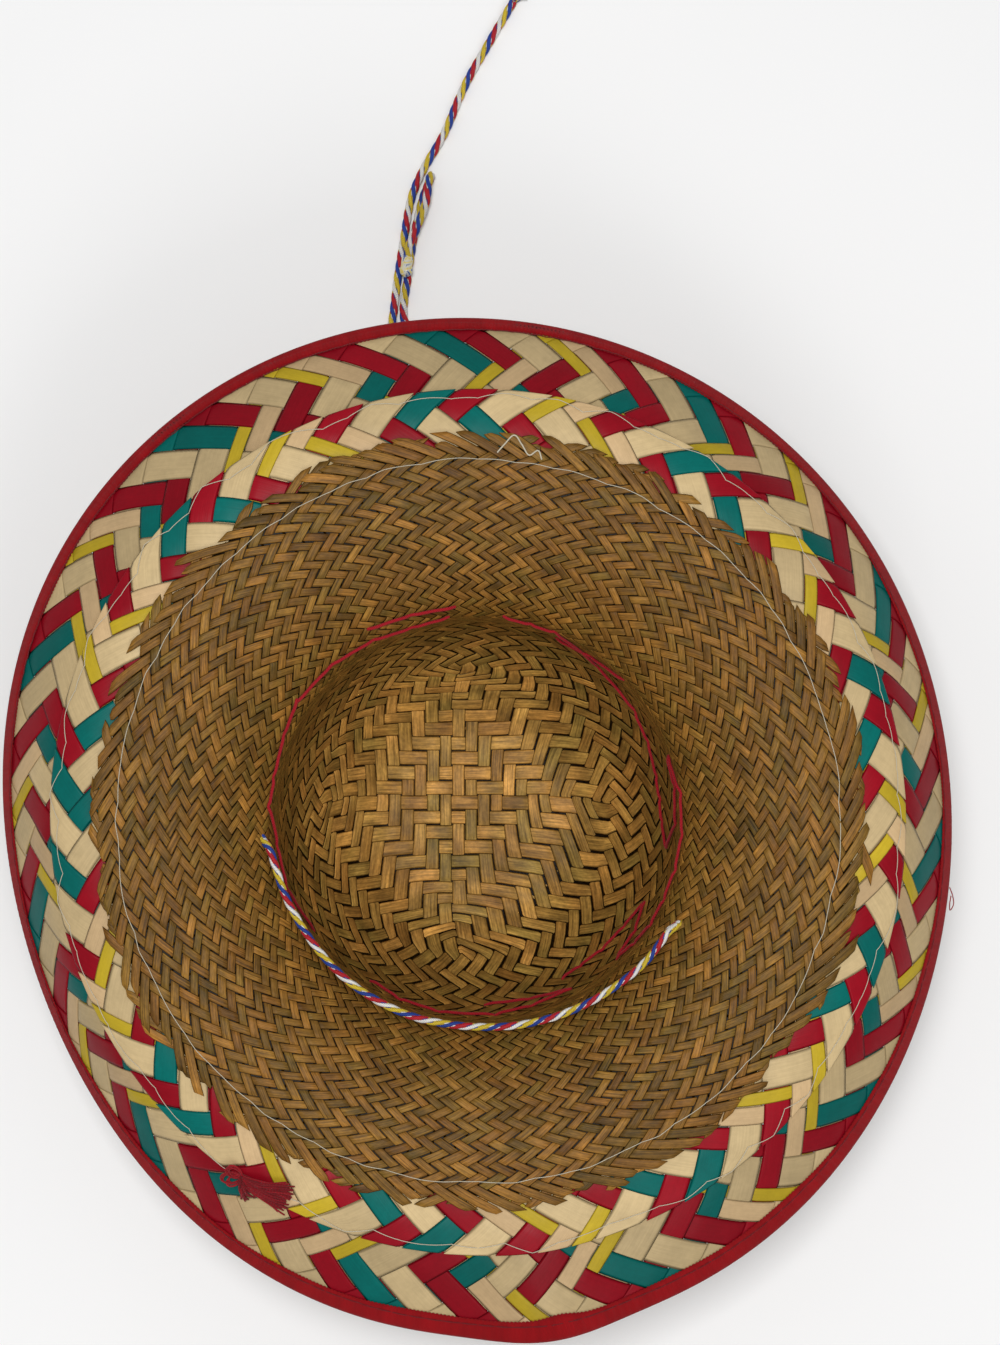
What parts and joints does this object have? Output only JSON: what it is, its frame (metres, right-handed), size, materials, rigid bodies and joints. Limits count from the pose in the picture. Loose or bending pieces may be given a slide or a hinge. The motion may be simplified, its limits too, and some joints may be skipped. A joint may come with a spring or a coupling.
{
  "type": "wide-brimmed woven straw hat",
  "caption": "Wide-brimmed woven palm hat with a conical crown, coloured braid brim, bound edge and braided chin cord, lying crown-down.",
  "frame": {"origin": "centre of the crown tip's flat outer face, on the surface that the hat lies on when it is set down on its crown", "axes": "+Z out of the head opening, +Y towards the edge of the brim over which the chin cord runs out, +X to the right seen from +Z"},
  "size_m": [0.4807, 0.703, 0.1625],
  "materials": {
    "palm_natural": "woven dried palm leaf, fibrous, faintly glossy",
    "palm_dyed": "plaited palm strips, natural, red, teal and yellow",
    "edge_tape": "ribbed cotton tape",
    "white_thread": "fine sewing thread",
    "red_yarn": "twisted wool yarn",
    "cord_braid": "round braid of red, white, yellow and blue strands",
    "cord_melt": "melted fibre, slightly glossy"
  },
  "bodies": {
    "root": {"woven_body": "palm_natural", "inner_braid": "palm_dyed", "outer_braid": "palm_dyed", "edge_binding": "edge_tape", "binding_stitching": "edge_tape", "body_seam_thread": "white_thread", "braid_seam_thread": "white_thread", "loose_seam_thread": "white_thread", "crown_yarn_inside": "red_yarn", "crown_yarn_outside": "red_yarn", "yarn_tuft": "red_yarn", "rim_thread_end": "red_yarn", "chin_cord_inside": "cord_braid", "chin_cord_tail": "cord_braid", "chin_cord_return": "cord_braid", "cord_fused_end": "cord_melt"}
  },
  "joints": []
}
